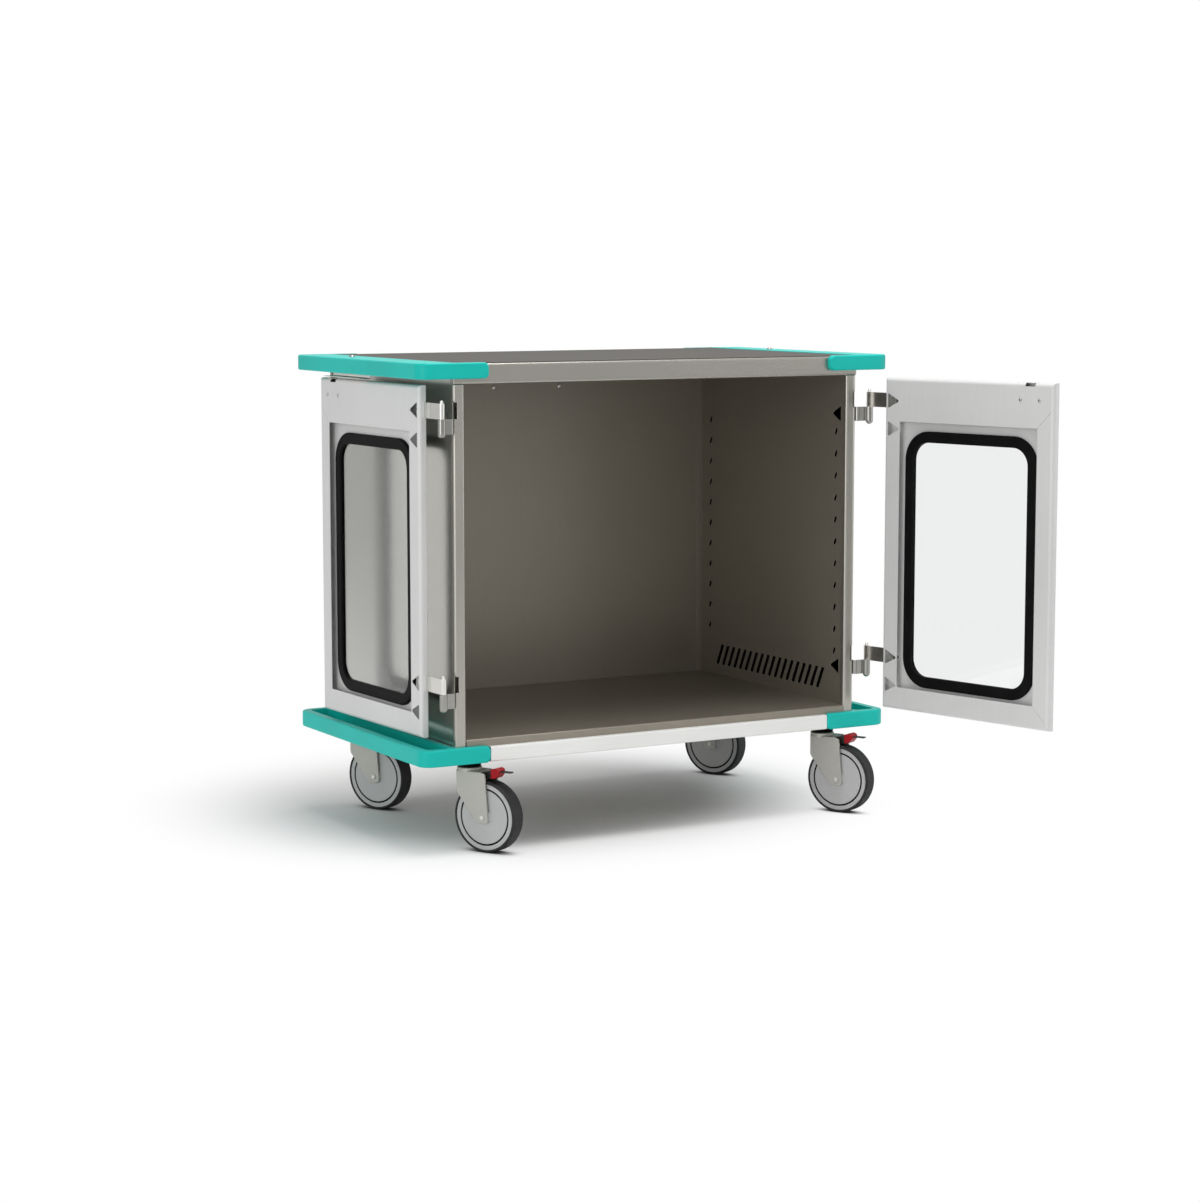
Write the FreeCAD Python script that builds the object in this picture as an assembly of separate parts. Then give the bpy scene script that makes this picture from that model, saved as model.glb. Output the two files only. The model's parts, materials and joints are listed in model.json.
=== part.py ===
import FreeCAD, Part
import math
import os
from FreeCAD import Vector

os.makedirs("parts", exist_ok=True)

# Cabinet body in millimetres; X to the right, Y to the back, Z up from the floor
body_half_width = 508.0
body_front = -315.5
body_back = 321.5
base_height = 34.0
floor_rise = 17.0
opening_height = 754.0
rail_height = 43.5
sheet = 1.5
thick_sheet = 2.0
bend = 3.0
seat_gap = 0.1
overrun = 1.0

# Front posts and the double side walls
post_width = 26.0
post_depth = 16.0
post_round = 6.0
inner_wall_inset = 20.0
outer_wall_inset = 6.5
corner_return = 15.5
rear_post_depth = 16.4
rear_flange = 13.0

# Bracket slots, vents and access cut-outs in the inner side walls
slot_front_margin = 49.5
slot_back_margin = 43.5
slot_count = 11
slot_first_rise = 120.0
slot_last_drop = 129.0
slot_length = 17.0
slot_width = 8.0
slot_lean = 28.0
vent_count = 18
vent_front_margin = 105.5
vent_pitch = 25.9
vent_rise = 51.0
vent_height = 50.0
vent_lean = 24.0
vent_width = 13.0
vent_corner = 2.0
access_front_margin = 30.5
access_depth = 35.0
access_height = 36.0

# Base frame and trim rails
frame_rail_width = 60.0
frame_wall = 2.5
corner_plate_length = 115.0
corner_plate_depth = 96.0
corner_plate_thickness = 5.0
trim_front_reach = 11.5
trim_back_reach = 5.5
trim_lift = 1.0
trim_bend = 2.5
trim_end_gap = 1.0

# Top deck
deck_thickness = 1.5
deck_lap = 9.5
skirt_height = 28.0

# Moulded bumpers
bumper_side_reach = 84.0
bumper_front_reach = 14.5
bumper_back_reach = 8.5
bumper_corner = 30.0
bumper_leg = 77.0
bumper_rim = 20.0
bumper_wall = 12.0
bumper_web = 10.0
bumper_edge = 4.0
bumper_end_round = 11.0
top_bumper_height = 34.0
top_bumper_rise = 1.0
bottom_bumper_height = 36.0
bumper_bolt_pitch = 200.0
bumper_bolt_r = 4.0
bumper_bolt_grip = 5.0
bumper_bolt_bite = 8.0
bolt_head_r = 7.0
bolt_head_height = 4.0

# Hinges, two on each side
hinge_out = 32.0
pin_r = 3.5
leaf = 3.0
leaf_bend = 4.5
socket_r = 8.3
pin_edge = 1.5
run_gap = 0.05
leaf_gap = 0.5
upper_hinge_drop = 69.5
lower_hinge_rise = 100.5
door_leaf_height = 33.0
body_leaf_height = 32.0
pin_stub = 6.0
socket_drop = 7.5
leaf_flange = 15.0
notch_width = 8.0
notch_depth = 6.0
notch_clear = 1.0
hinge_screw_r = 2.5
hinge_screw_head_r = 4.5
hinge_screw_head = 2.2
hinge_screw_rise = 9.0
hinge_screw_grip = 1.0
leaf_screw_r = 2.0
leaf_screw_head_r = 3.0
leaf_screw_inset = 3.0
leaf_screw_rise = 10.0
leaf_screw_step = 16.0

# Inset doors
door_free_gap = 2.0
door_hinge_gap = 6.0
door_floor_gap = 2.0
door_rail_gap = 2.0
door_thickness = 18.5
door_sheet = 1.5
door_proud = 5.5
door_inner_round = 8.0
door_outer_round = 2.0
least_round = 0.2
recess_side = 44.0
recess_bottom = 51.0
recess_top = 98.0
recess_corner = 4.0
mitre_gap = 0.8
triangle_base = 35.0
triangle_depth = 35.0
triangle_inset = 8.5
triangle_pitch = 63.0
triangle_corner = 2.5

# Door window
window_side = 52.5
window_bottom = 55.0
window_top = 118.0
window_corner = 65.0
gasket_width = 25.0
gasket_outside = 5.0
gasket_inside = 7.5
gasket_round = 3.5
skin_grip = 12.0
pane_grip = 8.0
pane_thickness = 4.0

# Door latch and turn handle
latch_x = 67.0
latch_half_width = 35.0
latch_bottom_drop = 73.0
latch_screw_spread = 25.75
latch_screw_drop = 37.0
latch_screw_r = 2.0
latch_screw_head_r = 4.0
latch_screw_head = 2.0
latch_screw_grip = 6.0
latch_notch = 8.0
bolt_width = 22.0
bolt_thickness = 5.0
bolt_length = 36.0
bolt_sunk = 9.0
bolt_round = 2.0
bolt_gap = 0.3
strike_gap = 2.5
handle_drop = 53.0
handle_shaft_r = 6.0
handle_shaft_depth = 8.0
handle_hub_r = 13.0
handle_reach = 58.0
handle_half_width = 9.0
handle_tip = 6.5
handle_thickness = 7.5
handle_stand_off = 0.5
handle_edge = 2.0

# Doors as photographed, in degrees from shut, and the folded-back limit
left_open = 268.0
right_open = 104.0
fold_back = 268.0

# Hold-open catches under the top bumpers
catch_length = 190.0
catch_ahead = 65.0
catch_lip_gap = 4.0
catch_leg_off = 13.0
catch_lip_reach = 13.0
catch_foot = 26.0
catch_bolt_in = 12.0
catch_bolt_ahead = 40.0

# Back wall rivets
rivet_x = 88.0
rivet_drop = 39.5
rivet_r = 2.4
rivet_head_r = 5.0
rivet_head = 2.2
corner_rivet_count = 6
corner_rivet_margin = 60.0

# Casters
caster_side_inset = 54.0
caster_end_inset = 43.5
caster_heading = -62.0
trail = 50.0
wheel_r = 77.5
tyre_depth = 6.0
tyre_width = 38.0
tyre_lip = 1.5
tyre_shoulder = 4.0
core_width = 34.0
hub_r = 14.0
hub_cone = 2.0
hub_gap = 0.3
core_round = 1.0
groove_inset = 11.0
groove_width = 4.0
groove_depth = 2.0
axle_r = 4.0
axle_head_r = 5.0
axle_head = 3.0
fork_clear = 2.5
fork_sheet = 4.0
fork_back = 17.0
fork_front = 40.0
fork_knee_drop = 46.0
fork_knee_round = 16.0
fork_foot = 15.0
fork_foot_drop = 13.0
fork_foot_round = 8.0
fork_lug = 6.0
fork_lug_drop = 5.0
fork_lug_round = 4.0
fork_headroom = 16.0
fork_crown = 5.0
head_r = 27.0
head_height = 5.0
head_edge = 2.0
race_r = 23.0
race_height = 9.0
race_gap = 0.4
king_r = 6.0
king_nut_r = 10.0
king_nut = 7.0
king_nut_drop = 0.4
plate_r = 30.0
plate_thickness = 5.0
plate_edge = 1.0

# Brakes on the front casters, measured from the axle and the tyre's top
brake_behind = 20.0
brake_rise = 7.0
brake_pin_r = 3.0
brake_pin_seat = 3.0
brake_boss_r = 6.5
brake_root = 4.5
brake_width = 22.0
brake_elbow = 12.0
brake_elbow_round = 4.0
brake_reach = 60.0
brake_arm_rise = 23.0
brake_arm = 2.5
shoe_ahead = 10.0
shoe_gap = 5.2
shoe_half = 5.0
shoe_round = 1.0
tongue_width = 12.0
cap_start = 14.0
cap_length = 21.0
cap_width = 28.0
cap_lift = 7.0
cap_rise = 29.0
cap_slope = 3.0
cap_chin = 10.0
cap_round = 2.0
cap_tip_round = 5.0

# Levels and places that follow from the sizes above
wheel_top = 2 * wheel_r
fork_top = wheel_top + fork_headroom + fork_crown
head_top = fork_top + head_height
plate_under = head_top + race_height
base_bottom = plate_under + plate_thickness
base_top = base_bottom + base_height
floor_top = base_top + floor_rise
post_top = floor_top + opening_height
rail_top = post_top + rail_height
deck_under = rail_top
deck_top = deck_under + deck_thickness
post_back = body_front + post_depth
post_inside = body_half_width - post_width
inner_wall_x = body_half_width - inner_wall_inset
outer_wall_x = body_half_width - outer_wall_inset
back_inside = body_back - sheet
body_middle_y = 0.5 * (body_front + body_back)
bumper_front = body_front - bumper_front_reach
bumper_back = body_back + bumper_back_reach
bumper_end = body_half_width + bumper_side_reach
bumper_leg_x = body_half_width - bumper_leg
top_bumper_top = deck_top + top_bumper_rise
top_bumper_low = top_bumper_top - top_bumper_height
top_web = top_bumper_top - bumper_web
bottom_bumper_top = base_bottom + bottom_bumper_height
bottom_web = base_bottom + bumper_web
top_bolt_z = 0.5 * (top_bumper_low + top_web)
bottom_bolt_z = 0.5 * (bottom_web + bottom_bumper_top)
bumper_bolt_y = (body_middle_y - bumper_bolt_pitch, body_middle_y, body_middle_y + bumper_bolt_pitch)
door_out = body_front - door_proud
door_in = door_out + door_thickness
door_x0 = door_free_gap
door_x1 = post_inside - door_hinge_gap
door_z0 = floor_top + door_floor_gap
door_z1 = post_top - door_rail_gap
leaf_front = door_out + door_sheet
leaf_back = leaf_front + leaf
hinge_x = body_half_width + hinge_out
hinge_y = leaf_front - pin_r
knuckle_r = pin_r + leaf
hinge_splits = (door_z0 + lower_hinge_rise, door_z1 - upper_hinge_drop)
latch_front = door_out + door_sheet
latch_back = door_in - door_sheet
bolt_y = latch_back - bolt_gap - 0.5 * bolt_thickness
strike_half_x = 0.5 * bolt_width + strike_gap
strike_half_y = 0.5 * bolt_thickness + strike_gap
catch_lip_z = door_z1 + catch_lip_gap
slot_pitch = (opening_height - slot_first_rise - slot_last_drop) / (slot_count - 1)
X = Vector(1, 0, 0)
Y = Vector(0, 1, 0)
Z = Vector(0, 0, 1)
wall_rise = Z * (deck_under - base_top)


# Shape helpers
def on_xy(z):
    """Plane across the cart at one height."""
    return lambda u, v: Vector(u, v, z)


def on_xz(y):
    """Upright plane facing the front."""
    return lambda u, v: Vector(u, y, v)


def on_yz(x):
    """Upright plane facing the side."""
    return lambda u, v: Vector(x, u, v)


def outline(corners, place):
    """Closed wire through (u, v, radius) corners; each radius rounds its corner."""
    stops = []
    for i in range(len(corners)):
        here = Vector(corners[i][0], corners[i][1], 0)
        radius = corners[i][2]
        before = Vector(corners[i - 1][0], corners[i - 1][1], 0) - here
        after = Vector(corners[(i + 1) % len(corners)][0], corners[(i + 1) % len(corners)][1], 0) - here
        if radius <= 0:
            stops.append((here, None, here))
            continue
        before.normalize()
        after.normalize()
        half = 0.5 * before.getAngle(after)
        middle = before + after
        middle.normalize()
        reach = radius / math.tan(half)
        bulge = radius / math.sin(half) - radius
        stops.append((here + before * reach, here + middle * bulge, here + after * reach))
    edges = []
    for i in range(len(stops)):
        start, middle, end = stops[i]
        if middle is not None:
            arc = Part.Arc(place(start.x, start.y), place(middle.x, middle.y), place(end.x, end.y))
            edges.append(arc.toShape())
        following = stops[(i + 1) % len(stops)][0]
        if (following - end).Length > 1e-6:
            edges.append(Part.makeLine(place(end.x, end.y), place(following.x, following.y)))
    return Part.Wire(edges)


def prism(corners, place, push):
    """Solid pushed out from a rounded outline."""
    return Part.Face(outline(corners, place)).extrude(push)


def frame_corners(u0, u1, v0, v1, radius=0.0):
    """Four corners of a rectangle, all with one radius."""
    return [(u0, v0, radius), (u1, v0, radius), (u1, v1, radius), (u0, v1, radius)]


def block(x0, x1, y0, y1, z0, z1):
    """Plain box between two corners, used for cuts."""
    return Part.makeBox(x1 - x0, y1 - y0, z1 - z0, Vector(x0, y0, z0))


def folded(path, thickness, inner_bend, place, push):
    """Bent sheet: the path is its right-hand face, the thickness lies to the left."""
    points = [Vector(u, v, 0) for u, v in path]
    headings = []
    for i in range(len(points) - 1):
        step = points[i + 1] - points[i]
        step.normalize()
        headings.append(step)
    right = []
    left = []
    for i in range(len(points)):
        first = headings[max(i - 1, 0)]
        second = headings[min(i, len(headings) - 1)]
        normal_one = Vector(-first.y, first.x, 0)
        normal_two = Vector(-second.y, second.x, 0)
        spread = normal_one + normal_two
        spread = spread * (2 * thickness / spread.dot(spread))
        turn = first.x * second.y - first.y * second.x
        at_end = i in (0, len(points) - 1)
        right_bend = 0.0 if at_end else inner_bend + (thickness if turn > 0 else 0.0)
        left_bend = 0.0 if at_end else inner_bend + (thickness if turn < 0 else 0.0)
        right.append((points[i].x, points[i].y, right_bend))
        left.append((points[i].x + spread.x, points[i].y + spread.y, left_bend))
    return prism(right + left[::-1], place, push)


def rod(radius, start, axis, length):
    """Round bar."""
    return Part.makeCylinder(radius, length, start, axis)


def dome_screw(radius, head_r, head, start, axis, length):
    """Screw whose shank runs from start along axis; its domed head stands behind start."""
    profile = [(0.0, 0.0, 0.0), (head_r, 0.0, 0.0), (head_r, -0.35 * head, 0.25 * head),
               (0.6 * head_r, -head, 0.4 * head_r), (0.0, -head, 0.0)]
    turned = Part.Face(outline(profile, on_xz(0.0))).revolve(Vector(0, 0, 0), Z, 360)
    screw = single(turned.fuse(rod(radius, Vector(0, 0, 0), Z, length)))
    screw.Placement = FreeCAD.Placement(start, FreeCAD.Rotation(Z, axis))
    return screw


def hexagon(radius, start, axis, length):
    """Six-sided nut or bolt head."""
    points = []
    for i in range(7):
        angle = math.radians(60 * i)
        points.append(Vector(radius * math.cos(angle), radius * math.sin(angle), 0))
    nut = Part.Face(Part.makePolygon(points)).extrude(Vector(0, 0, length))
    nut.Placement = FreeCAD.Placement(start, FreeCAD.Rotation(Z, axis))
    return nut


def mirrored(shape):
    """The same piece for the other side of the cart."""
    return shape.mirror(Vector(0, 0, 0), X)


def both_sides(shapes):
    """Each piece and its mirror image."""
    return shapes + [mirrored(shape) for shape in shapes]


def cut_all(shape, tools):
    """Shape with every tool taken away."""
    return single(shape.cut(Part.makeCompound(tools)))


def single(shape):
    """The one solid that a joined or cut shape holds, with merged faces."""
    merged = shape.removeSplitter()
    return merged.Solids[0] if len(merged.Solids) == 1 else merged


nodes = {}


# Base frame: channel ring open below, with corner plates for the casters
def body_plan(inset):
    """Cabinet's outline from above, drawn in by inset."""
    return frame_corners(-body_half_width + inset, body_half_width - inset,
                         body_front + inset, body_back - inset, bend)


def base_ring(inset, z0, z1):
    """Ring of the base frame, drawn in by inset on both sides of its rails."""
    ring = prism(body_plan(inset), on_xy(z0), Z * (z1 - z0))
    return ring.cut(prism(body_plan(frame_rail_width - inset), on_xy(z0), Z * (z1 - z0)))


def caster_spots():
    """Name and swivel axis of every caster."""
    spots = []
    for side, sign_x in (("left", -1), ("right", 1)):
        for end, sign_y in (("front", -1), ("back", 1)):
            x = sign_x * (body_half_width - caster_side_inset)
            y = body_back - caster_end_inset if sign_y > 0 else body_front + caster_end_inset
            spots.append((end + "_" + side, Vector(x, y, 0)))
    return spots


channel_room = base_ring(frame_wall, base_bottom - overrun, base_top - frame_wall)
base_frame = base_ring(0.0, base_bottom, base_top).cut(channel_room)
half_plate_x = 0.5 * corner_plate_length
half_plate_y = 0.5 * corner_plate_depth
for name, spot in caster_spots():
    edge_x = math.copysign(body_half_width - half_plate_x - frame_wall, spot.x)
    edge_y = body_front + half_plate_y + frame_wall
    if spot.y > body_middle_y:
        edge_y = body_back - half_plate_y - frame_wall
    corner = frame_corners(edge_x - half_plate_x - seat_gap, edge_x + half_plate_x + seat_gap,
                           edge_y - half_plate_y - seat_gap, edge_y + half_plate_y + seat_gap)
    base_frame = base_frame.fuse(prism(corner, on_xy(base_bottom), Z * corner_plate_thickness))
holes = []
for name, spot in caster_spots():
    holes.append(rod(king_r, spot + Z * (base_bottom - overrun), Z, corner_plate_thickness + 2 * overrun))
for sign in (-1, 1):
    for bolt_at in bumper_bolt_y:
        start = Vector(sign * (body_half_width + overrun), bolt_at, bottom_bolt_z)
        holes.append(rod(bumper_bolt_r, start, X * -sign, frame_wall + 2 * overrun))
nodes["base_frame"] = cut_all(base_frame, holes)

# Trim rails along the front and back of the base
trim_half = bumper_leg_x - trim_end_gap
trim_front = body_front - trim_front_reach
trim_back = body_back + trim_back_reach
trim_low = base_bottom + trim_lift
front_trim_path = [(body_front, base_top), (trim_front, base_top),
                   (trim_front, trim_low), (body_front, trim_low)]
back_trim_path = [(body_back, trim_low), (trim_back, trim_low), (trim_back, base_top), (body_back, base_top)]
trim_push = X * (2 * trim_half)
front_trim = folded(front_trim_path, sheet, trim_bend, on_yz(-trim_half), trim_push)
back_trim = folded(back_trim_path, sheet, trim_bend - sheet, on_yz(-trim_half), trim_push)
nodes["base_rails"] = Part.makeCompound([front_trim, back_trim])

# Floor panel with its folded lips, notched round the front posts
rear_strip_y = back_inside - sheet
floor_path = [(rear_strip_y, base_top), (rear_strip_y, floor_top),
              (body_front, floor_top), (body_front, base_top)]
floor = folded(floor_path, thick_sheet, bend, on_yz(-inner_wall_x), X * (2 * inner_wall_x))
for sign in (-1, 1):
    near = sign * (post_inside - seat_gap)
    far = sign * (inner_wall_x + overrun)
    post_room = block(min(near, far), max(near, far), body_front - overrun, post_back + seat_gap,
                      base_top - overrun, floor_top + overrun)
    floor = floor.cut(post_room)
nodes["floor_panel"] = floor


# Inner side walls: flange behind the post, bracket slots, vents and access cut-outs
def bracket_slot(y, z):
    """Rounded slot for a shelf bracket; its top leans to the front."""
    half = 0.5 * slot_width
    corners = frame_corners(-half, half, -0.5 * slot_length, 0.5 * slot_length, half)
    slot = prism(corners, on_yz(inner_wall_x - overrun), X * (sheet + 2 * overrun))
    slot.rotate(Vector(0, 0, 0), X, slot_lean)
    slot.translate(Vector(0, y, z))
    return slot


def vent_slot(y, z):
    """Vent with level ends, whose top stands further to the front than its foot."""
    top = y - 0.5 * vent_lean
    foot = y + 0.5 * vent_lean
    corners = [(foot - 0.5 * vent_width, z - 0.5 * vent_height, vent_corner),
               (foot + 0.5 * vent_width, z - 0.5 * vent_height, vent_corner),
               (top + 0.5 * vent_width, z + 0.5 * vent_height, vent_corner),
               (top - 0.5 * vent_width, z + 0.5 * vent_height, vent_corner)]
    return prism(corners, on_yz(inner_wall_x - overrun), X * (sheet + 2 * overrun))


inner_path = [(inner_wall_x, rear_strip_y), (inner_wall_x, post_back), (outer_wall_x - sheet, post_back)]
inner_wall = folded(inner_path, sheet, bend - sheet, on_xy(base_top), wall_rise)
openings = []
for row_y in (body_front + slot_front_margin, body_back - slot_back_margin):
    for i in range(slot_count):
        openings.append(bracket_slot(row_y, floor_top + slot_first_rise + i * slot_pitch))
for i in range(vent_count):
    openings.append(vent_slot(body_front + vent_front_margin + i * vent_pitch, floor_top + vent_rise))
access_front_y = body_front + access_front_margin
for split in hinge_splits:
    middle = split - leaf_gap - 0.5 * body_leaf_height
    corners = [(access_front_y, middle - 0.5 * access_height, triangle_corner),
               (access_front_y + access_depth, middle, triangle_corner),
               (access_front_y, middle + 0.5 * access_height, triangle_corner)]
    openings.append(prism(corners, on_yz(inner_wall_x - overrun), X * (sheet + 2 * overrun)))
inner_wall = cut_all(inner_wall, openings)
nodes["inner_side_right"] = inner_wall
nodes["inner_side_left"] = mirrored(inner_wall)

# Outer side walls with a turned-in edge in front of the rear posts
rear_post_front = back_inside - rear_post_depth
outer_path = [(outer_wall_x, post_back), (outer_wall_x, rear_post_front),
              (inner_wall_x + sheet, rear_post_front)]
outer_wall = folded(outer_path, sheet, bend - sheet, on_xy(base_top), wall_rise)
nodes["outer_sides"] = Part.makeCompound(both_sides([outer_wall]))

# Back panel wrapped round the rear corners, with rivets
back_path = [(body_half_width, body_back - corner_return), (body_half_width, body_back),
             (-body_half_width, body_back), (-body_half_width, body_back - corner_return)]
back_panel = folded(back_path, sheet, bend, on_xy(base_top), wall_rise)
rivet_spots = [Vector(sign * rivet_x, back_inside, post_top - rivet_drop) for sign in (-1, 1)]
rivet_low = base_top + corner_rivet_margin
rivet_step = (deck_under - corner_rivet_margin - rivet_low) / (corner_rivet_count - 1)
corner_rivet_x = 0.5 * (inner_wall_x + sheet + body_half_width)
for sign in (-1, 1):
    for i in range(corner_rivet_count):
        rivet_spots.append(Vector(sign * corner_rivet_x, body_back, rivet_low + i * rivet_step))
rivets = []
rivet_holes = []
for spot in rivet_spots:
    inward = Y if spot.y < body_back else -Y
    rivets.append(dome_screw(rivet_r, rivet_head_r, rivet_head, spot, inward, sheet))
    hole_start = Vector(spot.x, back_inside - overrun, spot.z)
    rivet_holes.append(rod(rivet_r, hole_start, Y, sheet + 2 * overrun))
nodes["back_panel"] = cut_all(back_panel, rivet_holes)
nodes["back_rivets"] = Part.makeCompound(rivets)

# Rear posts: tube in the corner with a narrow flange along the back wall
post_outer_x = body_half_width - sheet
tube_corners = frame_corners(inner_wall_x + sheet, post_outer_x, rear_post_front, back_inside, bend)
hollow_corners = frame_corners(inner_wall_x + sheet + thick_sheet, post_outer_x - thick_sheet,
                               rear_post_front + thick_sheet, back_inside - thick_sheet, bend - thick_sheet)
rear_post = prism(tube_corners, on_xy(base_top), wall_rise)
rear_post = rear_post.cut(prism(hollow_corners, on_xy(base_top), wall_rise))
strip_corners = frame_corners(inner_wall_x - rear_flange, inner_wall_x + sheet + bend,
                              rear_strip_y, back_inside)
rear_post = single(rear_post.fuse(prism(strip_corners, on_xy(base_top), wall_rise)))
nodes["rear_posts"] = Part.makeCompound(both_sides([rear_post]))


# Front posts: tubes with a notch beside each door leaf
def post_plan(wall):
    """Front post's outline, drawn in by its wall; the front edges are rounder than the back ones."""
    front_round = post_round - wall
    back_round = bend - wall
    x0 = post_inside + wall
    x1 = body_half_width - wall
    y0 = body_front + wall
    y1 = post_back - wall
    return [(x0, y0, front_round), (x1, y0, front_round), (x1, y1, back_round), (x0, y1, back_round)]


post_height = Z * (post_top - base_top)
front_post = prism(post_plan(0.0), on_xy(base_top), post_height)
front_post = front_post.cut(prism(post_plan(thick_sheet), on_xy(base_top), post_height))
post_cuts = []
body_screw_y = post_back - 0.5 * leaf_flange
for split in hinge_splits:
    notch_low = split + leaf_gap - notch_clear
    notch_high = split + leaf_gap + door_leaf_height + notch_clear
    post_cuts.append(block(body_half_width - notch_width, body_half_width + overrun,
                           body_front - overrun, body_front + notch_depth, notch_low, notch_high))
    for sign in (-1, 1):
        level = split - 0.5 * body_leaf_height + sign * hinge_screw_rise
        start = Vector(body_half_width + overrun, body_screw_y, level)
        post_cuts.append(rod(hinge_screw_r, start, -X, thick_sheet + 2 * overrun))
front_post = cut_all(front_post, post_cuts)
nodes["front_post_right"] = front_post
nodes["front_post_left"] = mirrored(front_post)

# Top front rail: rounded folds, closed ends and two strike holes
rail_path = [(post_back, rail_top), (body_front, rail_top), (body_front, post_top), (post_back, post_top)]
rail = folded(rail_path, sheet, bend, on_yz(-body_half_width), X * (2 * body_half_width))
cap_corners = [(post_back, post_top, 0.0), (post_back, rail_top, 0.0),
               (body_front, rail_top, bend + sheet), (body_front, post_top, bend + sheet)]
for start in (-body_half_width, body_half_width - sheet):
    rail = rail.fuse(prism(cap_corners, on_yz(start), X * sheet))
strikes = []
for sign in (-1, 1):
    hole = frame_corners(sign * latch_x - strike_half_x, sign * latch_x + strike_half_x,
                         bolt_y - strike_half_y, bolt_y + strike_half_y, bolt_round)
    strikes.append(prism(hole, on_xy(post_top - overrun), Z * (sheet + 2 * overrun)))
nodes["top_front_rail"] = cut_all(rail, strikes)

# Top deck with folded side skirts
skirt_low = deck_top - skirt_height
deck_path = [(body_half_width, skirt_low), (body_half_width, deck_top),
             (-body_half_width, deck_top), (-body_half_width, skirt_low)]
skirt_front = post_back + seat_gap
skirt_back = rear_post_front - seat_gap
deck = folded(deck_path, deck_thickness, bend, on_xz(skirt_front), Y * (skirt_back - skirt_front))
lap_half = body_half_width - bend - deck_thickness
lap_room = frame_corners(-lap_half, lap_half, post_back - deck_lap, skirt_front)
deck = deck.fuse(prism(lap_room, on_xy(deck_under), Z * deck_thickness))
rear_room = frame_corners(-body_half_width, body_half_width, skirt_back, body_back)
deck = deck.fuse(prism(rear_room, on_xy(deck_under), Z * deck_thickness))
deck_holes = []
for sign in (-1, 1):
    for bolt_at in bumper_bolt_y:
        start = Vector(sign * (body_half_width + overrun), bolt_at, top_bolt_z)
        deck_holes.append(rod(bumper_bolt_r, start, X * -sign, deck_thickness + 2 * overrun))
nodes["top_deck"] = cut_all(deck, deck_holes)


# Bumpers: moulded U pieces round each end, with a trough behind the rim
def on_bumper_outline(x, y):
    """True for a point on the bumper's outer plan line."""
    corner_x = bumper_end - bumper_corner
    past_y = max(bumper_front + bumper_corner - y, y - bumper_back + bumper_corner)
    if x > corner_x and past_y > 0:
        return math.hypot(x - corner_x, past_y) > bumper_corner - 0.01
    return x > bumper_end - 0.01 or past_y > bumper_corner - 0.01


def bumper(low, high, trough_low, trough_high):
    """Right-hand bumper between two heights, hollow between the trough's heights."""
    plan = [(bumper_leg_x, bumper_front, 0.0), (bumper_end, bumper_front, bumper_corner),
            (bumper_end, bumper_back, bumper_corner), (bumper_leg_x, bumper_back, 0.0),
            (bumper_leg_x, body_back, 0.0), (body_half_width, body_back, 0.0),
            (body_half_width, body_front, 0.0), (bumper_leg_x, body_front, 0.0)]
    solid = prism(plan, on_xy(low), Z * (high - low))
    ends = [edge for edge in solid.Edges
            if all(abs(v.X - bumper_leg_x) < 0.01 for v in edge.Vertexes)
            and abs(edge.Vertexes[0].Z - edge.Vertexes[1].Z) < 0.01]
    solid = solid.makeFillet(bumper_end_round, ends)
    rims = []
    for edge in solid.Edges:
        middle = edge.valueAt(0.5 * (edge.FirstParameter + edge.LastParameter))
        points = [v.Point for v in edge.Vertexes] + [middle]
        upright = math.hypot(points[0].x - points[1].x, points[0].y - points[1].y) < 0.01
        seam = upright and middle.x > bumper_leg_x + 0.01
        if all(on_bumper_outline(p.x, p.y) for p in points) and not seam:
            rims.append(edge)
    solid = solid.makeFillet(bumper_edge, rims)
    room = frame_corners(body_half_width + bumper_wall, bumper_end - bumper_rim,
                         bumper_front + bumper_rim, bumper_back - bumper_rim, bumper_wall)
    return solid.cut(prism(room, on_xy(trough_low), Z * (trough_high - trough_low)))


def bumper_holes(level, depth):
    """Bolt holes in the bumper's inner wall."""
    return [rod(bumper_bolt_r, Vector(body_half_width, y, level), X, depth) for y in bumper_bolt_y]


top_bumper = bumper(top_bumper_low, top_bumper_top, top_bumper_low - overrun, top_web)
bottom_bumper = bumper(base_bottom, bottom_bumper_top, bottom_web, bottom_bumper_top + overrun)

# Latch bolt place on the open door, where the catch has to meet it
turn = math.radians(fold_back)
bolt_dx = latch_x - hinge_x
bolt_dy = bolt_y - hinge_y
catch_x = hinge_x + bolt_dx * math.cos(turn) - bolt_dy * math.sin(turn)
catch_y = hinge_y + bolt_dx * math.sin(turn) + bolt_dy * math.cos(turn)

# Hold-open catches: bent strips hung from the top bumper's web
leg_x = catch_x - catch_leg_off
catch_path = [(leg_x - catch_foot, top_web - sheet), (leg_x, top_web - sheet), (leg_x, catch_lip_z),
              (catch_x + catch_lip_reach, catch_lip_z)]
catch_start = catch_y - catch_ahead - 0.5 * catch_length
catch = folded(catch_path, sheet, bend - sheet, on_xz(catch_start), Y * catch_length)
catch_hole = frame_corners(catch_x - strike_half_y, catch_x + strike_half_y,
                           catch_y - strike_half_x, catch_y + strike_half_x, bolt_round)
catch = catch.cut(prism(catch_hole, on_xy(catch_lip_z - overrun), Z * (sheet + 2 * overrun)))
catch_bolt_x = leg_x - catch_bolt_in
catch_bolt_spot = Vector(catch_bolt_x, catch_y - catch_bolt_ahead, top_bumper_top)
catch_bolt_length = bumper_web + sheet
catch_hole_tool = rod(bumper_bolt_r, catch_bolt_spot + Z * overrun, -Z, catch_bolt_length + 2 * overrun)
nodes["hold_catches"] = Part.makeCompound(both_sides([catch.cut(catch_hole_tool)]))

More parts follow.
